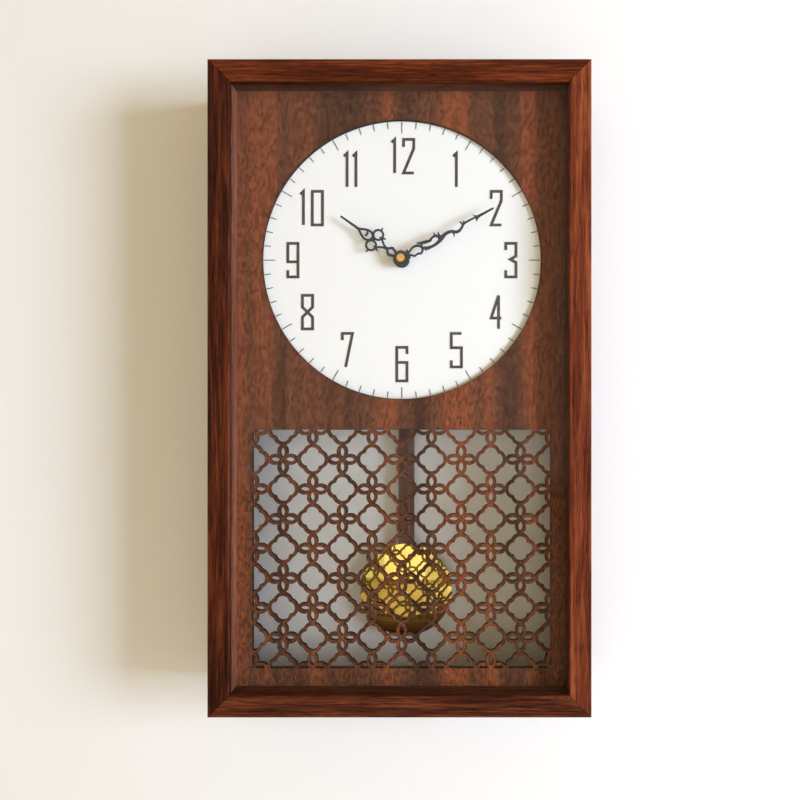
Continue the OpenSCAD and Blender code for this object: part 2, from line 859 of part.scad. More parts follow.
module coil_bobbin() {
    color("#efe9da") difference() {
        union() {
            on_bar(-coil_half, coil_half, bobbin_r);
            on_bar(-coil_half, flange_t - coil_half, flange_r);
            on_bar(coil_half - flange_t, coil_half, flange_r);
        }
        dial_slab(stator_s, stator_s + stator_t)
            translate([rotor_at.x, coil_z]) square([2 * coil_half + 2, stator_bar], center = true);
    }
}

module coil_winding() {
    color("#b4632c") difference() {
        on_bar(flange_t - coil_half, coil_half - flange_t, flange_r - 0.4);
        on_bar(-coil_half, coil_half, bobbin_r);
    }
}

// Board, crystal, battery and pendulum coil

module circuit_board() {
    color("#2f6b3c") dial_slab(board_s, board_s + board_thick, board_at) square(board_size, center = true);
}

module quartz_crystal() {
    color("silver") dial_slab(board_s + board_thick, board_s + board_thick + 2 * crystal_r, board_at)
        square([2 * crystal_r, crystal_len], center = true);
}

// A rod along X on the battery's axis
module battery_rod(x0, x1, r) {
    translate([x0, battery_s - case_d, dial_z + battery_z]) rotate([0, 90, 0]) cylinder(h = x1 - x0, r = r);
}

module battery() {
    color("#3d4a5c") {
        battery_rod(-battery_len / 2, battery_len / 2, battery_d / 2);
        battery_rod(battery_len / 2, battery_len / 2 + nub_len, 2.7);
    }
}

module contact(side, touch) {
    wall = side * (move_w / 2 - shell_t);
    face = side * touch;
    dial_slab(battery_s - 3, battery_s + 3) translate([0, battery_z])
        stroke([[wall - side * contact_t / 2, 5], [wall - side * contact_t / 2, -5],
                [face + side * contact_t / 2, 0], [face + side * contact_t / 2, 4]], contact_t);
}
module contact_plus() {
    color("silver") contact(1, battery_len / 2 + nub_len);
}
module contact_minus() {
    color("silver") contact(-1, battery_len / 2);
}

module pendulum_coil() {
    color("#b4632c") dial_slab(back_in - drive_t, back_in, [0, -pivot_drop - magnet_drop])
        ring(drive_r / 2 + 1.5, drive_r - 3);
}

// Hands, drawn pointing up from the axis

module hand_hub(r, bore) {
    difference() {
        circle(r);
        circle(bore);
    }
}

module hour_hand() {
    // Points are [across, along, width] from the axis, on a hand 55.6 long
    k = hour_len / 55.6;
    ring_at = [4.7, 24.4];
    lines = [
        [[1.4, 5.6, 1.4], [2.7, 9.9, 1.6], [0.55, 12.8, 1.4], [0.8, 16, 1.3], [2.7, 19, 1.3],
         [4.1, 20.8, 1.3]],
        [[1.5, 27, 1.3], [3.3, 29.5, 1.3], [3.4, 32.2, 1.3], [2.3, 35.2, 1.3], [0.4, 38.6, 1.4],
         [0.1, 41, 1.4]],
        [[8.7, 24.4, 1.3], [10, 24.5, 1], [10.9, 24.6, 0.6]],
        [[4.4, 20.6, 1.4], [4.9, 19.2, 1.1], [5.2, 18, 0.7]],
        [[4.3, 21.2, 1.2], [4.1, 22, 1], [3.9, 22.8, 0.6]]
    ];
    hook = [[3, 33.2, 1.2], [1.6, 32, 1.3], [-0.2, 31.6, 1.3], [-1.4, 32.4, 1]];
    tip = [[0, 38, 1.7], [0, 47, 1.4], [0, 55.6, 1.1]];
    color("#161412") dial_slab(hour_s, hour_s + hand_t) rotate(-hour_angle) {
        hand_hub(6.2, pipe_r);
        for (line = lines) {
            brush(line, k);
            brush(mirrored(line), k);
        }
        for (side = [-1, 1]) {
            translate(k * [side * ring_at.x, ring_at.y]) ring(3.7 * k, scroll_w);
            translate(k * [side * 2.8, 10]) circle(1.1 * k);
        }
        polygon(k * [[-1.7, 24.2], [1.7, 24.2], [2.4, 27.8], [-2.4, 27.8]]);
        brush(hook, k);
        brush(tip, k);
    }
}

module minute_hand() {
    // Points are [across, along, width] from the axis, on a hand 78.5 long
    k = minute_len / 78.5;
    lines = [
        [[-3.8, 6.7, 1.2], [-0.2, 6.2, 1.6], [3.4, 6, 1.2]],
        [[-0.6, 6.4, 1.4], [-1.6, 8.4, 1.3], [-2.9, 11.3, 1.3], [-2.6, 14.9, 1.5], [-0.6, 17.3, 1.5],
         [1.2, 17.9, 1.4]],
        [[0.9, 6.2, 1.3], [1.6, 8, 1.3], [3.4, 9.6, 1.2], [3.1, 11.7, 1.2], [3.2, 13.2, 1.3], [3.9, 15, 1.3],
         [2.4, 17, 1.4], [0.4, 17.6, 1.4]],
        [[-4.4, 15.7, 0.7], [-3.1, 18.1, 1.5], [-1.9, 22.1, 1.9], [-1.3, 25.4, 1.6], [-2.2, 27.2, 1.3],
         [-2.7, 29.8, 1.4], [-1.6, 31.7, 1.8], [0.2, 32.6, 2], [1, 33.6, 1.8]],
        [[-2.7, 18.8, 1.5], [-1.6, 18.2, 1.4], [-0.4, 17.5, 1.4]],
        [[0.2, 17.2, 1.3], [1.7, 19, 2], [3, 22.3, 1.8], [3.3, 26.9, 1.7], [2.5, 30.9, 2.2], [1.1, 34, 2.7],
         [-0.2, 38.2, 2], [0.3, 42.5, 1.9], [2.4, 45.4, 1.9], [2.6, 48.3, 1.7], [1.3, 51.1, 1.5],
         [-0.3, 53.1, 1.7], [-0.5, 55.8, 1.3], [-0.4, 63, 1.2], [0, 67.5, 1.5], [0, 78.5, 1.1]],
        [[-2.5, 30.1, 1.1], [-4.2, 30.5, 0.9], [-5.3, 30.4, 0.6]],
        [[0.6, 33.4, 1.4], [-2.3, 33.3, 1.1], [-4.2, 33.6, 0.6]],
        [[1.1, 43.4, 1.4], [3, 43.3, 1], [4.7, 42.6, 0.6]],
        [[0.3, 52.6, 1.4], [-1.7, 52.1, 1.1], [-3.1, 51.2, 0.6]],
        [[0, 52.9, 1.2], [-1.2, 53.8, 0.9], [-2.4, 54.6, 0.6]],
        [[1.8, 19.9, 1.4], [3.2, 19.6, 1], [4.2, 18.8, 0.6]],
        [[2.5, 20.9, 1.4], [3.7, 21.2, 0.9], [4.6, 21.5, 0.6]]
    ];
    barb = [[-0.3, 63.2], [3, 62.4], [1.4, 65], [0.6, 68.4], [-0.6, 68.4], [-1.2, 64.6], [-3.3, 62.3]];
    color("#161412") dial_slab(minute_s, minute_s + hand_t) rotate(-minute_angle) {
        hand_hub(6, thread_r);
        for (line = lines) brush(line, k);
        polygon(k * barb);
    }
}

module cap_nut() {
    color("goldenrod") difference() {
        rod(cap_r, minute_s - cap_t, minute_s);
        rod(thread_r, minute_s - cap_t + 1, minute_s + past);
    }
}

// Pendulum

module swing_arm() {
    color("#e9e5d8") difference() {
        union() {
            dial_slab(arm_s, arm_s + arm_t, [0, -pivot_drop]) {
                circle(arm_w / 2);
                patch(-arm_w / 2 + 1, -peg_drop, arm_w / 2 - 1, 0);
                translate([0, -peg_drop]) circle(arm_w / 2);
            }
            rod(peg_r, arm_s, rod_s + rod_t + 2, [0, -pivot_drop - peg_drop]);
        }
        rod(pin_r + run_fit, arm_s - past, arm_s + arm_t + past, [0, -pivot_drop]);
    }
}

module pivot_pin() {
    color("silver") rod(pin_r, back_in, arm_s + arm_t + 2, [0, -pivot_drop]);
}

module pin_clip() {
    color("silver") dial_slab(arm_s + arm_t + 0.3, arm_s + arm_t + 0.3 + clip_t, [0, -pivot_drop])
        ring(pin_r + 1, 2);
}

module arm_magnet() {
    color("#3a3d40") rod(magnet_r, arm_s - magnet_t, arm_s, [0, -pivot_drop - magnet_drop]);
}

module pendulum_rod() {
    color("#3c2015") slab(rod_s, rod_s + rod_t) difference() {
        patch(-rod_w / 2, bob_z - bob_r / 2, rod_w / 2, rod_top);
        translate([0, pivot_z - peg_drop]) circle(peg_r + eyelet_wall);
    }
}

module rod_eyelet() {
    color("goldenrod") slab(rod_s, rod_s + rod_t) translate([0, pivot_z - peg_drop])
        ring(peg_r + eyelet_wall / 2, eyelet_wall);
}

// The bob's front is a turned shell: a plain rim with the cap of a large sphere on it
bob_sphere = (bob_r * bob_r + bob_rise * bob_rise) / (2 * bob_rise);
rim_w = 2 * bob_wall;
module bob_cap(r, w) {
    translate([0, bob_edge]) intersection() {
        square([w, bob_rise]);
        translate([0, bob_rise - bob_sphere]) circle(r, $fn = 400);
    }
}
module bob_front() {
    color("#c79a3a") translate([0, rod_s - case_d, bob_z]) rotate([90, 0, 0])
        rotate_extrude($fn = 200) difference() {
            union() {
                square([bob_r, bob_edge]);
                bob_cap(bob_sphere, bob_r);
            }
            translate([-past, -past]) square([bob_r - rim_w + past, bob_edge + past]);
            bob_cap(bob_sphere - bob_wall, bob_r - rim_w);
        }
}

module bob_back() {
    color("#8f7d4c") slab(rod_s + rod_t, rod_s + rod_t + bob_back_t)
        translate([0, bob_z]) circle(bob_r - 8);
}

// Two bars beside the rod reach the rim and hold the bob's front and back together
module rod_clamp() {
    bar_len = bob_r - rim_w / 2 - rod_w / 2;
    color("#6f6a60") slab(rod_s, rod_s + rod_t) for (side = [-1, 1])
        translate([side * (rod_w + bar_len) / 2, bob_z]) square([bar_len, clamp_h], center = true);
}

case_left();
case_right();
case_top();
case_bottom();
mitre_keys();
front_glass();
strip_left();
strip_right();
strip_top();
strip_bottom();
front_panel();
cleat_left();
cleat_right();
cleat_top();
cleat_bottom();
dial_plate();
dial_screws();
hour_numerals();
minute_track();
back_board();
back_screws();
hanging_rail();
hanger_plate();
hanger_screws();
movement_front();
movement_back();
movement_gasket();
bush_washer();
bush_nut();
minute_arbor();
motion_wheel();
hour_wheel();
setting_knob();
third_wheel();
fourth_wheel();
motor_rotor();
motor_stator();
coil_bobbin();
coil_winding();
circuit_board();
quartz_crystal();
battery();
contact_plus();
contact_minus();
pendulum_coil();
hour_hand();
minute_hand();
cap_nut();
swing_arm();
pivot_pin();
pin_clip();
arm_magnet();
pendulum_rod();
rod_eyelet();
bob_front();
bob_back();
rod_clamp();
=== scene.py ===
# Wooden wall clock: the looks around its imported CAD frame. Metres, front towards -Y, wall at y = 0.
import math

import bmesh
import bpy
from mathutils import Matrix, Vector


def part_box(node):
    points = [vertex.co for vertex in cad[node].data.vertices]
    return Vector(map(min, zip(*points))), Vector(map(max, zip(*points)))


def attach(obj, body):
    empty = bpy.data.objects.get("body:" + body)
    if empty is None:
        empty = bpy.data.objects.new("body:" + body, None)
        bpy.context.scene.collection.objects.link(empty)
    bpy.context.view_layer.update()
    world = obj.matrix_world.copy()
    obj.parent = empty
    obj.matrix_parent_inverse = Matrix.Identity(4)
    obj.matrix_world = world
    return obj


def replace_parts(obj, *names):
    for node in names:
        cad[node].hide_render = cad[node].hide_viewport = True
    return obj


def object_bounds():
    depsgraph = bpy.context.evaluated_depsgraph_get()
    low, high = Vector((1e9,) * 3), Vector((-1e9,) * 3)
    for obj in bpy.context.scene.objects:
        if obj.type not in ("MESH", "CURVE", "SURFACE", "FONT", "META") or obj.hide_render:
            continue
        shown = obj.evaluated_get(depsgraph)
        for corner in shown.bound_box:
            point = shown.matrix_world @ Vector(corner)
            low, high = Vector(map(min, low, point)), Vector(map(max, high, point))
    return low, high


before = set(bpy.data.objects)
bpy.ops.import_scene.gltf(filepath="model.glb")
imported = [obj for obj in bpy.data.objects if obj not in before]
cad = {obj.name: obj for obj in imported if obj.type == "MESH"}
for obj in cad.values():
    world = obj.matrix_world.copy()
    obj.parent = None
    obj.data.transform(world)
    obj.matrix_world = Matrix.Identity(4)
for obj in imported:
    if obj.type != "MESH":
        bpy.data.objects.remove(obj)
cad_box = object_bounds()
MM = 0.001

# Camera where the photograph was taken: a little right of the clock's middle, square to the wall
CAMERA_AT = (0.050, -0.596, -0.213)
camera = bpy.data.objects.new("photo_camera", bpy.data.cameras.new("photo_camera"))
bpy.context.collection.objects.link(camera)
camera.location = CAMERA_AT
camera.rotation_euler = (math.radians(90), 0, 0)
camera.data.sensor_width = 36
camera.data.lens = 32.14
camera.data.shift_x = -0.0850
camera.data.shift_y = -0.0146
bpy.context.scene.camera = camera
bpy.context.scene.view_settings.view_transform = "Standard"


def linear(code):
    """An sRGB hex colour as linear RGBA."""
    parts = [int(code[i:i + 2], 16) / 255 for i in (1, 3, 5)]
    return tuple(c / 12.92 if c <= 0.04045 else ((c + 0.055) / 1.055) ** 2.4 for c in parts) + (1.0,)


def add(tree, kind, sockets=None, stops=None, **settings):
    """One shader node: its settings, its sockets as values or links, and the stops of a colour ramp."""
    node = tree.nodes.new("ShaderNode" + kind)
    for key, value in settings.items():
        setattr(node, key, value)
    for key, value in (sockets or {}).items():
        if isinstance(value, bpy.types.NodeSocket):
            tree.links.new(value, node.inputs[key])
        else:
            node.inputs[key].default_value = value
    if stops:
        ramp = node.color_ramp.elements
        while len(ramp) < len(stops):
            ramp.new(1.0)
        for element, (place, colour) in zip(ramp, stops):
            element.position = place
            element.color = linear(colour) if isinstance(colour, str) else (colour, colour, colour, 1)
    return node


def finish_of(name, sockets):
    """A new material: its node tree and its Principled shader, with the even values set on the shader."""
    mat = bpy.data.materials.new(name)
    mat.use_nodes = True
    shader = mat.node_tree.nodes["Principled BSDF"]
    for key, value in sockets.items():
        shader.inputs[key].default_value = value
    return mat, mat.node_tree, shader


def per_mm(size):
    """Texture scale, in metres, of a pattern whose features are size millimetres wide."""
    return 1 / (size * MM)


# Sockets of a Mix node set to colour, and the scale that makes one wave as wide as per_mm says
COLOUR_A, COLOUR_B, COLOUR_OUT = 6, 7, 2
WAVE_TURN = 6.28
GRAIN_STRETCH = {"X": (0.05, 1, 1), "Z": (1, 1, 0.05)}
CASE_MIDDLE_Z = (cad_box[0].z + cad_box[1].z) / 2
MITRE = (cad_box[1].z - cad_box[0].z - cad_box[1].x + cad_box[0].x) / 2


def stained_hardwood(name, grain, place, dark, mid, light):
    """Ash boards, planed, stained red-brown and lacquered satin: long streaks, open pores, dark mitre lines."""
    mat, tree, shader = finish_of(name, {"Roughness": 0.38, "Specular IOR Level": 0.06})
    here = add(tree, "TexCoord").outputs["Object"]
    along = add(tree, "Mapping", {"Vector": here, "Location": place,
                                  "Scale": GRAIN_STRETCH[grain]}).outputs[0]
    # Growth rings cut lengthwise, about 7 mm apart, wander a little
    figure = add(tree, "TexNoise", {"Vector": along, "Scale": per_mm(7), "Detail": 5, "Roughness": 0.62,
                                    "Distortion": 0.6}).outputs[0]
    # Fine streaks of 1.3 mm, and pores of 0.6 mm, drawn twice as wide as real ones so that they show
    streak = add(tree, "TexNoise", {"Vector": along, "Scale": per_mm(1.3), "Detail": 3}).outputs[0]
    pore = add(tree, "TexNoise", {"Vector": along, "Scale": per_mm(0.6), "Detail": 2}).outputs[0]
    tone = add(tree, "Math", {0: figure, 1: 0.62}, operation="MULTIPLY").outputs[0]
    tone = add(tree, "Math", {0: streak, 1: 0.38, 2: tone}, operation="MULTIPLY_ADD").outputs[0]
    colour = add(tree, "ValToRGB", {0: tone}, [(0.38, dark), (0.5, mid), (0.62, light)]).outputs[0]
    open_pore = add(tree, "ValToRGB", {0: pore}, [(0.33, 0.35), (0.45, 1.0)]).outputs[0]
    colour = add(tree, "Mix", {0: 1.0, COLOUR_A: colour, COLOUR_B: open_pore}, data_type="RGBA",
                 blend_type="MULTIPLY").outputs[COLOUR_OUT]
    # The mitre's glue line, 0.5 mm wide
    axes = add(tree, "SeparateXYZ", {0: here}).outputs
    side = add(tree, "Math", {0: axes["X"]}, operation="ABSOLUTE").outputs[0]
    up = add(tree, "Math", {0: axes["Z"], 1: CASE_MIDDLE_Z}, operation="SUBTRACT").outputs[0]
    up = add(tree, "Math", {0: up}, operation="ABSOLUTE").outputs[0]
    off = add(tree, "Math", {0: up, 1: side}, operation="SUBTRACT").outputs[0]
    off = add(tree, "Math", {0: off, 1: MITRE}, operation="SUBTRACT").outputs[0]
    off = add(tree, "Math", {0: off}, operation="ABSOLUTE").outputs[0]
    seam = add(tree, "MapRange", {0: off, 1: 0.1 * MM, 2: 0.5 * MM, 3: 0.3, 4: 1.0}).outputs[0]
    colour = add(tree, "Mix", {0: 1.0, COLOUR_A: colour, COLOUR_B: seam}, data_type="RGBA",
                 blend_type="MULTIPLY").outputs[COLOUR_OUT]
    tree.links.new(colour, shader.inputs["Base Color"])
    rough = add(tree, "MapRange", {0: pore, 1: 0.35, 2: 0.6, 3: 0.62, 4: 0.36}).outputs[0]
    tree.links.new(rough, shader.inputs["Roughness"])
    bump = add(tree, "Bump", {"Strength": 0.25, "Distance": 0.12 * MM, "Height": open_pore}).outputs[0]
    tree.links.new(bump, shader.inputs["Normal"])
    return mat


def ribbon_veneer():
    """Sapele veneer on thin board, oiled: upright ribbons, short flecks, and edges scorched by the cutter."""
    mat, tree, shader = finish_of("sapele_veneer", {"Roughness": 0.5, "Specular IOR Level": 0.05})
    coords = add(tree, "TexCoord").outputs
    here = coords["Object"]
    long_way = add(tree, "Mapping", {"Vector": here, "Location": (0.31, 0, 0.2),
                                     "Scale": (1, 0.2, 0.02)}).outputs[0]
    # Ribbons about 24 mm wide, their edges feathered
    ribbon = add(tree, "TexNoise", {"Vector": long_way, "Scale": per_mm(24), "Detail": 2, "Roughness": 0.45,
                                    "Distortion": 0.25}).outputs[0]
    ground = add(tree, "ValToRGB", {0: ribbon},
                 [(0.36, "#4c3122"), (0.5, "#673f2b"), (0.62, "#84492d")]).outputs[0]
    # Flecks 1.4 mm wide and 3.5 mm long, drawn wider than real pores so that they show
    fleck_way = add(tree, "Mapping", {"Vector": here, "Scale": (1, 1, 0.4)}).outputs[0]
    fleck = add(tree, "TexNoise", {"Vector": fleck_way, "Scale": per_mm(1.4), "Detail": 4,
                                   "Roughness": 0.7}).outputs[0]
    shade = add(tree, "ValToRGB", {0: fleck}, [(0.38, 0.5), (0.5, 0.9), (0.62, 1.45)]).outputs[0]
    colour = add(tree, "Mix", {0: 1.0, COLOUR_A: ground, COLOUR_B: shade}, data_type="RGBA",
                 blend_type="MULTIPLY").outputs[COLOUR_OUT]
    facing = add(tree, "SeparateXYZ", {0: coords["Normal"]}).outputs["Y"]
    flat = add(tree, "Math", {0: facing}, operation="ABSOLUTE").outputs[0]
    burnt = add(tree, "Math", {0: flat, 1: 0.7}, operation="LESS_THAN").outputs[0]
    colour = add(tree, "Mix", {0: burnt, COLOUR_A: colour, COLOUR_B: linear("#2a1a12")},
                 data_type="RGBA").outputs[COLOUR_OUT]
    # Bare pale birch on the back face
    rear = add(tree, "Math", {0: facing, 1: 0.7}, operation="GREATER_THAN").outputs[0]
    colour = add(tree, "Mix", {0: rear, COLOUR_A: colour, COLOUR_B: linear("#dfcfb2")},
                 data_type="RGBA").outputs[COLOUR_OUT]
    # Scorch on the face, fading over 1.3 mm from each cut edge
    near = add(tree, "AmbientOcclusion", {"Distance": 1.3 * MM}, samples=8, inside=True,
               only_local=True).outputs["AO"]
    scorch = add(tree, "MapRange", {0: near, 1: 0.45, 2: 1.0, 3: 0.36, 4: 1.0}).outputs[0]
    colour = add(tree, "Mix", {0: 1.0, COLOUR_A: colour, COLOUR_B: scorch}, data_type="RGBA",
                 blend_type="MULTIPLY").outputs[COLOUR_OUT]
    tree.links.new(colour, shader.inputs["Base Color"])
    rough = add(tree, "MapRange", {0: fleck, 1: 0.3, 2: 0.7, 3: 0.62, 4: 0.42}).outputs[0]
    tree.links.new(rough, shader.inputs["Roughness"])
    bump = add(tree, "Bump", {"Strength": 0.2, "Distance": 0.1 * MM, "Height": fleck}).outputs[0]
    tree.links.new(bump, shader.inputs["Normal"])
    return mat


def plain_wood(name, grain, place, dark, light, rough):
    """Straight-grained wood left bare or stained plain: soft streaks along its length."""
    mat, tree, shader = finish_of(name, {"Roughness": rough, "Specular IOR Level": 0.2})
    here = add(tree, "TexCoord").outputs["Object"]
    along = add(tree, "Mapping", {"Vector": here, "Location": place,
                                  "Scale": GRAIN_STRETCH[grain]}).outputs[0]
    wide = add(tree, "TexNoise", {"Vector": along, "Scale": per_mm(4), "Detail": 4,
                                  "Distortion": 0.4}).outputs[0]
    fine = add(tree, "TexNoise", {"Vector": along, "Scale": per_mm(0.9), "Detail": 2}).outputs[0]
    tone = add(tree, "Math", {0: fine, 1: 0.45, 2: wide}, operation="MULTIPLY_ADD").outputs[0]
    colour = add(tree, "ValToRGB", {0: tone}, [(0.5, dark), (0.95, light)]).outputs[0]
    tree.links.new(colour, shader.inputs["Base Color"])
    bump = add(tree, "Bump", {"Strength": 0.2, "Distance": 0.1 * MM, "Height": fine}).outputs[0]
    tree.links.new(bump, shader.inputs["Normal"])
    return mat


def mottled(name, dark, light, size, rough, rough_to, bump_mm, even=None):
    """A moulded, painted or plated surface: two near colours in a fine mottle, with its gloss and bump."""
    mat, tree, shader = finish_of(name, even or {})
    here = add(tree, "TexCoord").outputs["Object"]
    grit = add(tree, "TexNoise", {"Vector": here, "Scale": per_mm(size), "Detail": 3}).outputs[0]
    colour = add(tree, "ValToRGB", {0: grit}, [(0.35, dark), (0.65, light)]).outputs[0]
    tree.links.new(colour, shader.inputs["Base Color"])
    gloss = add(tree, "MapRange", {0: grit, 1: 0.35, 2: 0.65, 3: rough, 4: rough_to}).outputs[0]
    tree.links.new(gloss, shader.inputs["Roughness"])
    if bump_mm:
        bump = add(tree, "Bump", {"Strength": 0.5, "Distance": bump_mm * MM, "Height": grit}).outputs[0]
        tree.links.new(bump, shader.inputs["Normal"])
    return mat


def faced_hardboard():
    """Hardboard with a white lacquered face inside and its brown meshed face towards the wall."""
    mat, tree, shader = finish_of("white_faced_hardboard", {"Roughness": 0.36, "Specular IOR Level": 0.9})
    coords = add(tree, "TexCoord").outputs
    here = coords["Object"]
    # The pressing mesh, 1.6 mm
    weave = add(tree, "TexWave", {"Vector": here, "Scale": per_mm(1.6) / WAVE_TURN, "Distortion": 1.5},
                bands_direction="X").outputs[0]
    cross = add(tree, "TexWave", {"Vector": here, "Scale": per_mm(1.6) / WAVE_TURN, "Distortion": 1.5},
                bands_direction="Z").outputs[0]
    mesh = add(tree, "Math", {0: weave, 1: cross}, operation="MULTIPLY").outputs[0]
    fibre = add(tree, "TexNoise", {"Vector": here, "Scale": per_mm(2.5), "Detail": 5}).outputs[0]
    brown = add(tree, "ValToRGB", {0: fibre}, [(0.3, "#6d4c30"), (0.7, "#94704a")]).outputs[0]
    white = add(tree, "ValToRGB", {0: fibre}, [(0.3, "#f6f6f6"), (0.7, "#fafaf9")]).outputs[0]
    back = add(tree, "SeparateXYZ", {0: coords["Normal"]}).outputs["Y"]
    back = add(tree, "Math", {0: back, 1: -0.7}, operation="GREATER_THAN").outputs[0]
    colour = add(tree, "Mix", {0: back, COLOUR_A: white, COLOUR_B: brown},
                 data_type="RGBA").outputs[COLOUR_OUT]
    tree.links.new(colour, shader.inputs["Base Color"])
    relief = add(tree, "Math", {0: mesh, 1: back}, operation="MULTIPLY").outputs[0]
    bump = add(tree, "Bump", {"Strength": 0.6, "Distance": 0.25 * MM, "Height": relief}).outputs[0]
    tree.links.new(bump, shader.inputs["Normal"])
    return mat


def turned_brass(name, colour, worn, rough, marks_mm):
    """Brass, turned or pressed and lacquered: fine tool marks where it is left plain, and faint tarnish."""
    mat, tree, shader = finish_of(name, {"Metallic": 1.0, "Roughness": rough})
    here = add(tree, "TexCoord").outputs["Object"]
    cloud = add(tree, "TexNoise", {"Vector": here, "Scale": per_mm(14), "Detail": 4}).outputs[0]
    tint = add(tree, "ValToRGB", {0: cloud}, [(0.35, worn), (0.65, colour)]).outputs[0]
    tree.links.new(tint, shader.inputs["Base Color"])
    gloss = add(tree, "MapRange", {0: cloud, 1: 0.3, 2: 0.7, 3: rough * 1.8, 4: rough}).outputs[0]
    tree.links.new(gloss, shader.inputs["Roughness"])
    if marks_mm:
        tooled = add(tree, "TexNoise", {"Vector": here, "Scale": per_mm(marks_mm), "Detail": 2}).outputs[0]
        bump = add(tree, "Bump", {"Strength": 0.08, "Distance": 0.03 * MM, "Height": tooled}).outputs[0]
        tree.links.new(bump, shader.inputs["Normal"])
    return mat


def float_glass():
    """Float glass, 2 mm, clear with little glare. Lamps and soft light pass straight through it."""
    mat, tree, shader = finish_of("float_glass", {"Base Color": linear("#ffffff"), "Roughness": 0.0,
                                                  "IOR": 1.12, "Transmission Weight": 1.0})
    path = add(tree, "LightPath").outputs
    through = add(tree, "Math", {0: path["Is Shadow Ray"], 1: path["Is Diffuse Ray"]},
                  operation="MAXIMUM").outputs[0]
    clear = add(tree, "BsdfTransparent", {"Color": linear("#fdfefd")}).outputs[0]
    pane = add(tree, "MixShader", {0: through, 1: shader.outputs[0], 2: clear}).outputs[0]
    tree.links.new(pane, tree.nodes["Material Output"].inputs["Surface"])
    return mat


def sleeved_cell():
    """A dry cell in a plain printed shrink sleeve, dark with a copper shoulder, its ends bare steel."""
    mat, tree, shader = finish_of("shrink_sleeved_cell", {"Roughness": 0.3, "Metallic": 0.4})
    low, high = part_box("battery")
    across = add(tree, "SeparateXYZ", {0: add(tree, "TexCoord").outputs["Object"]}).outputs["X"]
    along = add(tree, "MapRange", {0: across, 1: low.x, 2: high.x, 3: 0.0, 4: 1.0}).outputs[0]
    colour = add(tree, "ValToRGB", {0: along},
                 [(0.0, "#b9bcbf"), (0.012, "#1d2733"), (0.66, "#b87445"), (0.965, "#c3c5c7")]).outputs[0]
    colour.node.color_ramp.interpolation = "CONSTANT"
    tree.links.new(colour, shader.inputs["Base Color"])
    scuff = add(tree, "TexNoise", {"Scale": per_mm(3), "Detail": 4}).outputs[0]
    gloss = add(tree, "MapRange", {0: scuff, 3: 0.2, 4: 0.42}).outputs[0]
    tree.links.new(gloss, shader.inputs["Roughness"])
    return mat


def wound_copper(name, axis):
    """Enamelled copper wire in close turns: lines of 0.4 mm, coarser than the wire so that they show, with
    painted shade in the grooves between turns.
    """
    mat, tree, shader = finish_of(name, {"Metallic": 0.9, "Roughness": 0.35})
    here = add(tree, "TexCoord").outputs["Object"]
    turns = add(tree, "TexWave", {"Vector": here, "Scale": per_mm(0.4) / WAVE_TURN, "Distortion": 0.4},
                bands_direction=axis).outputs[0]
    # The dark end of this ramp is painted shade in the grooves between turns, and the light end is the copper
    # of each turn
    colour = add(tree, "ValToRGB", {0: turns}, [(0.1, "#6a3216"), (0.7, "#c9773f")]).outputs[0]
    tree.links.new(colour, shader.inputs["Base Color"])
    bump = add(tree, "Bump", {"Strength": 0.6, "Distance": 0.15 * MM, "Height": turns}).outputs[0]
    tree.links.new(bump, shader.inputs["Normal"])
    return mat


# Finishes
RED_BROWNS = {
    "case_left": ("Z", (0.0, 0.0, 0.0), "#200b04", "#451d0c", "#6c341c"),
    "case_right": ("Z", (0.4, 0.1, 0.3), "#4a1c0b", "#72361f", "#985030"),
    "case_top": ("X", (0.2, 0.7, 0.5), "#2c1007", "#56250f", "#803c20"),
    "case_bottom": ("X", (0.9, 0.2, 0.1), "#2c120a", "#562917", "#7e4428"),
    # The strips' tones carry painted light: the left strip is lighter as painted light where the window lights
    # its inner face, and the right, top and bottom strips share darker tones as painted shade
    "strip_left": ("Z", (0.5, 0.3, 0.6), "#57301f", "#7a4b38", "#96634d"),
    "strip_right": ("Z", (0.6, 0.5, 0.2), "#3a1c10", "#55301f", "#6f4430"),
    "strip_top": ("X", (0.7, 0.4, 0.9), "#3a1c10", "#55301f", "#6f4430"),
    "strip_bottom": ("X", (0.3, 0.8, 0.4), "#3a1c10", "#55301f", "#6f4430"),
}
paint = {}
for board, (grain, place, *tones) in RED_BROWNS.items():
    paint[board] = stained_hardwood("stained_ash_" + board, grain, place, *tones)
pine_long = plain_wood("bare_pine_upright", "Z", (0.1, 0.2, 0.3), "#a97c4c", "#d0a774", 0.65)
pine_wide = plain_wood("bare_pine_level", "X", (0.4, 0.2, 0.6), "#a97c4c", "#d0a774", 0.65)
paint.update(dict.fromkeys(["cleat_left", "cleat_right"], pine_long))
paint.update(dict.fromkeys(["cleat_top", "cleat_bottom", "hanging_rail"], pine_wide))
paint["mitre_keys"] = plain_wood("beech_key", "X", (0, 0, 0), "#b08a5c", "#cfae80", 0.6)
paint["front_glass"] = float_glass()
paint["front_panel"] = ribbon_veneer()
paint["dial_plate"] = mottled("white_enamelled_card", "#f2f2f2", "#f6f6f6", 1.2, 0.6, 0.52, 0.01,
                              {"Specular IOR Level": 0.2})
ink = mottled("dark_brown_screen_ink", "#382c27", "#463934", 0.8, 0.6, 0.5, 0.01)
paint.update(dict.fromkeys(["hour_numerals", "minute_track"], ink))
paint["back_board"] = faced_hardboard()
zinc = mottled("zinc_plated_steel", "#9fa2a4", "#c4c7c8", 0.7, 0.42, 0.26, 0.01, {"Metallic": 1.0})
paint.update(dict.fromkeys(["dial_screws", "back_screws", "hanger_screws", "pivot_pin", "pin_clip",
                            "contact_plus", "contact_minus", "quartz_crystal"], zinc))
brass = turned_brass("turned_brass", "#d3ab55", "#b88d3e", 0.24, 0.4)
paint.update(dict.fromkeys(["minute_arbor", "cap_nut", "rod_eyelet", "hanger_plate"], brass))
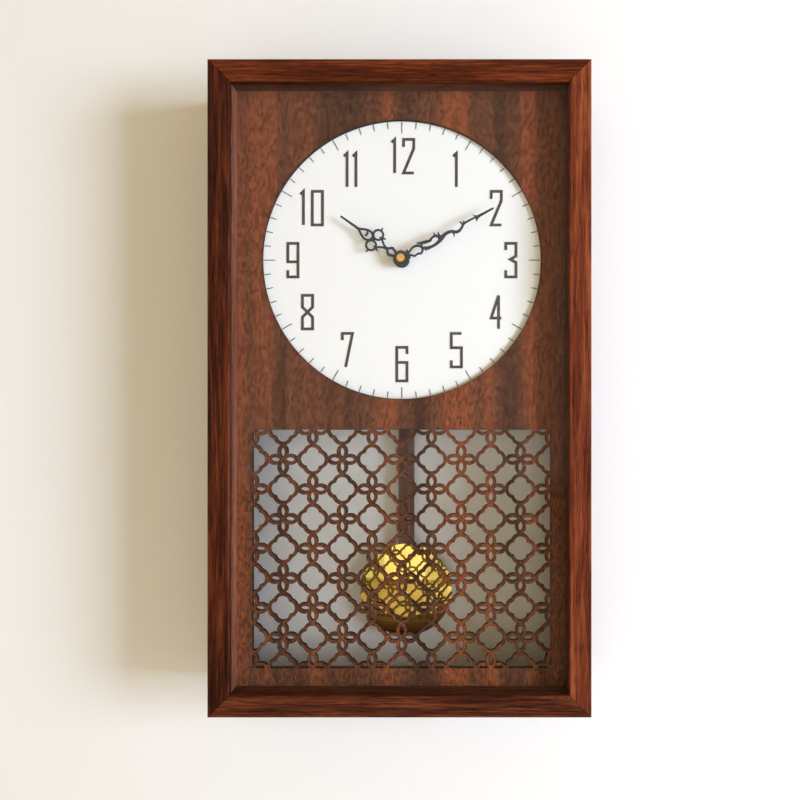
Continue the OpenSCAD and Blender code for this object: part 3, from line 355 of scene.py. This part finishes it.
paint["bob_front"] = turned_brass("polished_brass", "#e6c66c", "#d8b357", 0.05, 0)
paint["bob_back"] = turned_brass("brushed_brass_disc", "#b89a58", "#9c7f45", 0.3, 0.5)
moulded = mottled("black_abs_moulded", "#181918", "#232423", 0.6, 0.62, 0.5, 0.04)
paint.update(dict.fromkeys(["movement_front", "movement_back"], moulded))
acetal = mottled("white_acetal_moulded", "#ddd7c8", "#eae5d8", 1.5, 0.42, 0.34, 0.01)
paint.update(dict.fromkeys(["motion_wheel", "hour_wheel", "setting_knob", "third_wheel", "fourth_wheel",
                            "coil_bobbin", "swing_arm"], acetal))
paint["movement_gasket"] = mottled("black_rubber", "#141414", "#1e1e1d", 0.8, 0.85, 0.75, 0.03)
blacked = mottled("black_lacquered_steel", "#0f0e0d", "#1b1917", 0.7, 0.5, 0.36, 0.01)
paint.update(dict.fromkeys(["hour_hand", "minute_hand", "bush_washer", "bush_nut"], blacked))
ferrite = mottled("grey_ferrite", "#2c2d2f", "#434547", 0.6, 0.55, 0.4, 0.03)
paint.update(dict.fromkeys(["motor_rotor", "arm_magnet"], ferrite))
paint["motor_stator"] = mottled("silicon_steel_sheet", "#6d7073", "#888b8e", 0.9, 0.5, 0.35, 0.01,
                                {"Metallic": 1.0})
paint["circuit_board"] = mottled("green_solder_mask", "#1f5430", "#2c6b3d", 1.4, 0.4, 0.3, 0.01)
paint["battery"] = sleeved_cell()
paint["coil_winding"] = wound_copper("wound_copper_motor", "X")
paint["pendulum_coil"] = wound_copper("wound_copper_drive", "Y")
paint["pendulum_rod"] = plain_wood("dark_stained_beech", "Z", (0.8, 0.1, 0.2), "#553a2f", "#8a6556", 0.45)
paint["rod_clamp"] = mottled("pressed_steel_bar", "#5d5a54", "#77736b", 0.9, 0.5, 0.38, 0.02,
                             {"Metallic": 1.0})
for name, node in cad.items():
    node.data.materials.clear()
    node.data.materials.append(paint[name])


def piece(name, mesh, body, mat):
    """A new object from a bmesh, riding on a CAD body."""
    data = bpy.data.meshes.new(name)
    mesh.to_mesh(data)
    mesh.free()
    obj = bpy.data.objects.new(name, data)
    bpy.context.collection.objects.link(obj)
    data.materials.append(mat)
    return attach(obj, body)


def islands(node):
    """The separate solids of a CAD node, as lists of their corners."""
    mesh = bmesh.new()
    mesh.from_mesh(cad[node].data)
    bmesh.ops.remove_doubles(mesh, verts=mesh.verts, dist=0.001 * MM)
    left, groups = set(mesh.verts), []
    for seed in mesh.verts:
        if seed not in left:
            continue
        left.discard(seed)
        group, edge = [], [seed]
        while edge:
            vert = edge.pop()
            group.append(vert.co.copy())
            for link in vert.link_edges:
                other = link.other_vert(vert)
                if other in left:
                    left.discard(other)
                    edge.append(other)
        groups.append(group)
    mesh.free()
    return groups


SEGMENTS = 28
# Head outlines from the seat up: shares of the head's radius and of its height
PAN_HEAD = [(0.97, 0.0), (1.0, 0.12), (1.0, 0.35), (0.93, 0.68), (0.8, 0.9), (0.66, 1.0)]
COUNTERSUNK_HEAD = [(0.62, 0.0), (0.98, 0.9), (1.0, 0.97), (0.97, 1.0), (0.7, 0.97)]
# A cross recess from above, in shares of the head's radius: arms half the head long.
# Its floor is smaller than its mouth by FLOOR_SHARE, and RECESS_SHARE of the head deep.
FLOOR_SHARE, RECESS_SHARE = 0.78, 0.62
CROSS = [(0.52, -0.15), (0.52, 0.15), (0.15, 0.15), (0.15, 0.52), (-0.15, 0.52), (-0.15, 0.15), (-0.52, 0.15),
         (-0.52, -0.15), (-0.15, -0.15), (-0.15, -0.52), (0.15, -0.52), (0.15, -0.15)]


def cross_recess_screw(mesh, at, tip, seat, rise, head_r, shank_r, head):
    """A wood screw along Y, its turned shank and head in one, with a cross recess stamped into the head."""
    profile = [(0.55 * shank_r, tip), (shank_r, tip + shank_r), (shank_r, seat)]
    profile += [(share * head_r, seat + up * rise) for share, up in head]
    angles = [math.tau * i / SEGMENTS for i in range(SEGMENTS)]
    rings = []
    for radius, y in profile:
        rings.append([mesh.verts.new((at.x + radius * math.cos(a), y, at.z + radius * math.sin(a)))
                      for a in angles])
    mesh.faces.new(rings[0])
    for low, high in zip(rings, rings[1:]):
        for i in range(SEGMENTS):
            mesh.faces.new((low[i - 1], high[i - 1], high[i], low[i]))
    top = profile[-1][1]
    mouth = [mesh.verts.new((at.x + head_r * x, top, at.z + head_r * z)) for x, z in CROSS]
    inner = FLOOR_SHARE * head_r
    floor = [mesh.verts.new((at.x + inner * x, top - RECESS_SHARE * rise, at.z + inner * z)) for x, z in CROSS]
    for i in range(len(CROSS)):
        mesh.faces.new((mouth[i - 1], floor[i - 1], floor[i], mouth[i]))
    mesh.faces.new(floor)
    rim = [mesh.edges.get((loop[i - 1], loop[i])) for loop in (rings[-1], mouth) for i in range(len(loop))]
    bmesh.ops.triangle_fill(mesh, use_beauty=True, edges=rim)


def screws(name, node, head_mm, shank_share, head):
    """The screws of a CAD node, in their places, with their heads towards the wall."""
    mesh = bmesh.new()
    for group in islands(node):
        low = Vector([min(c[i] for c in group) for i in range(3)])
        high = Vector([max(c[i] for c in group) for i in range(3)])
        head_r = (high.x - low.x) / 2
        cross_recess_screw(mesh, (low + high) / 2, low.y, high.y - head_mm * MM, head_mm * MM, head_r,
                           shank_share * head_r, head)
    bmesh.ops.recalc_face_normals(mesh, faces=mesh.faces)
    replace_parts(piece(name, mesh, "clock_case", zinc), node)


# A screw's shank is 0.62 of its head across, and the heads are 1.4 and 1.5 mm high
SHANK_SHARE = 0.62
screws("back_board_screws", "back_screws", 1.4, SHANK_SHARE, PAN_HEAD)
screws("keyhole_plate_screws", "hanger_screws", 1.5, SHANK_SHARE, COUNTERSUNK_HEAD)


def raised(mesh, outline, height):
    """A moulded mark on the movement's back: an outline [x, z] in mm from the hand axis, its top edge eased."""
    foot = [mesh.verts.new((x * MM, MOVEMENT_BACK_Y, HAND_AXIS_Z + z * MM)) for x, z in outline]
    top = [mesh.verts.new(v.co + Vector((0, height * MM, 0))) for v in foot]
    for i in range(len(foot)):
        mesh.faces.new((foot[i - 1], foot[i], top[i], top[i - 1]))
    mesh.faces.new(foot[::-1])
    lid = mesh.faces.new(top)
    bmesh.ops.bevel(mesh, geom=list(lid.edges), offset=0.12 * MM, segments=2, affect="EDGES", profile=0.5)


def bar(x, z, half_x, half_z):
    """The outline of a straight bar round [x, z]."""
    return [(x - half_x, z - half_z), (x + half_x, z - half_z),
            (x + half_x, z + half_z), (x - half_x, z + half_z)]


def round_knob(radius, angle):
    """A point of the movement's back, in mm, by its radius and angle round the setting knob."""
    return (KNOB_X + radius * math.cos(angle), radius * math.sin(angle))


# Marks moulded on the movement: the battery's poles, frame ribs, and an arrow round the setting knob.
# Their sizes are in mm, and the back shell's face lies 12 mm behind its front edge.
BACK_SHELL_DEPTH = 12
MARK_X, MARK_Z, MARK_REACH, POLE_HIGH, RIB_HIGH = 22, 15.5, 2.2, 0.5, 0.4
PLUS = [(1, -0.22), (1, 0.22), (0.22, 0.22), (0.22, 1), (-0.22, 1), (-0.22, 0.22),
        (-1, 0.22), (-1, -0.22), (-0.22, -0.22), (-0.22, -1), (0.22, -1), (0.22, -0.22)]
RIBS = [bar(0, -43.2, 27.6, 0.6), bar(-27, -18, 0.6, 7.8), bar(27, -14, 0.6, 28.6)]
ARROW = [math.radians(a) for a in range(-70, 51, 10)]
ARROW_IN, ARROW_OUT = 8, 8.9
arbor_low, arbor_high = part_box("minute_arbor")
HAND_AXIS_Z = (arbor_low.z + arbor_high.z) / 2
MOVEMENT_BACK_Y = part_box("movement_back")[0].y + BACK_SHELL_DEPTH * MM
knob_low, knob_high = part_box("setting_knob")
KNOB_X = (knob_low.x + knob_high.x) / 2 / MM
plus_low, plus_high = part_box("contact_plus")
plus_side = 1 if plus_low.x + plus_high.x > 0 else -1
marks = bmesh.new()
raised(marks, [(plus_side * MARK_X + MARK_REACH * x, MARK_Z + MARK_REACH * z) for x, z in PLUS], POLE_HIGH)
raised(marks, bar(-plus_side * MARK_X, MARK_Z, MARK_REACH, 0.5), POLE_HIGH)
for rib in RIBS:
    raised(marks, rib, RIB_HIGH)
arrow_head = [round_knob(10.2, ARROW[-1]), round_knob(8.4, ARROW[-1] + 0.28), round_knob(6.8, ARROW[-1])]
raised(marks, [round_knob(ARROW_OUT, a) for a in ARROW] + arrow_head
       + [round_knob(ARROW_IN, a) for a in ARROW[::-1]], RIB_HIGH)
bmesh.ops.recalc_face_normals(marks, faces=marks.faces)
piece("movement_moulded_marks", marks, "clock_case", moulded)

# Stage: a plain pale wall behind the clock and a plain pale floor well below it.
# The wall takes the clock's shadow and is seen only from its front, so the clock's back shows from behind.
FLOOR_Z = -0.85
WALL_TOP, STAGE_HALF, FLOOR_FRONT, FLOOR_BACK = 1.6, 3.0, -4.0, 4.0


def stage_sheet(name, corners, colour):
    sheet = bmesh.new()
    sheet.faces.new([sheet.verts.new(c) for c in corners])
    data = bpy.data.meshes.new(name)
    sheet.to_mesh(data)
    sheet.free()
    obj = bpy.data.objects.new(name, data)
    bpy.context.collection.objects.link(obj)
    mat, tree, shader = finish_of(name + "_matt_paint", {"Base Color": linear(colour), "Roughness": 0.9})
    data.materials.append(mat)
    return obj, tree, shader


wall, wall_tree, wall_shader = stage_sheet(
    "wall", [(-STAGE_HALF, 0, FLOOR_Z), (STAGE_HALF, 0, FLOOR_Z), (STAGE_HALF, 0, WALL_TOP),
             (-STAGE_HALF, 0, WALL_TOP)], "#f4f3f0")
behind = add(wall_tree, "NewGeometry").outputs["Backfacing"]
gone = add(wall_tree, "BsdfTransparent").outputs[0]
seen = add(wall_tree, "MixShader", {0: behind, 1: wall_shader.outputs[0], 2: gone}).outputs[0]
wall_tree.links.new(seen, wall_tree.nodes["Material Output"].inputs["Surface"])
wall.visible_diffuse = wall.visible_glossy = wall.visible_shadow = False
stage_sheet("floor", [(-STAGE_HALF, FLOOR_FRONT, FLOOR_Z), (STAGE_HALF, FLOOR_FRONT, FLOOR_Z),
                      (STAGE_HALF, FLOOR_BACK, FLOOR_Z), (-STAGE_HALF, FLOOR_BACK, FLOOR_Z)], "#efeeea")

# Light: a warm soft room, a cooler window from the right at about 57 degrees off the front, and two soft fills
world = bpy.data.worlds.new("soft_room")
bpy.context.scene.world = world
world.use_nodes = True
room = world.node_tree
room.nodes.clear()
rays = add(room, "LightPath").outputs
open_view = add(room, "Math", {0: rays["Is Camera Ray"], 1: rays["Is Glossy Ray"]},
                operation="MAXIMUM").outputs[0]
open_view = add(room, "Math", {0: open_view, 1: rays["Is Transmission Ray"]},
                operation="MAXIMUM").outputs[0]
warm = add(room, "Background", {"Color": linear("#ffe09c"), "Strength": 0.44}).outputs[0]
white = add(room, "Background", {"Color": linear("#ffffff"), "Strength": 1.0}).outputs[0]
mixed = add(room, "MixShader", {0: open_view, 1: warm, 2: white}).outputs[0]
add(room, "OutputWorld", {"Surface": mixed})


def lamp(name, at, target, size, power, colour):
    data = bpy.data.lights.new(name, "AREA")
    data.shape = "RECTANGLE"
    data.size, data.size_y = size
    data.energy = power
    data.color = linear(colour)[:3]
    obj = bpy.data.objects.new(name, data)
    bpy.context.collection.objects.link(obj)
    obj.location = at
    obj.rotation_mode = "QUATERNION"
    obj.rotation_quaternion = (Vector(target) - Vector(at)).to_track_quat("-Z", "Y")


CLOCK_MIDDLE = (0, -0.05, -0.213)
lamp("window", (2.35, -1.55, -0.15), CLOCK_MIDDLE, (0.9, 1.1), 94, "#d6e5ff")
lamp("front_fill", (-0.3, -3.0, 0.3), CLOCK_MIDDLE, (2.0, 2.0), 9, "#fff3e4")
lamp("back_fill", (-1.0, 1.8, 0.6), CLOCK_MIDDLE, (1.2, 1.2), 40, "#ffffff")
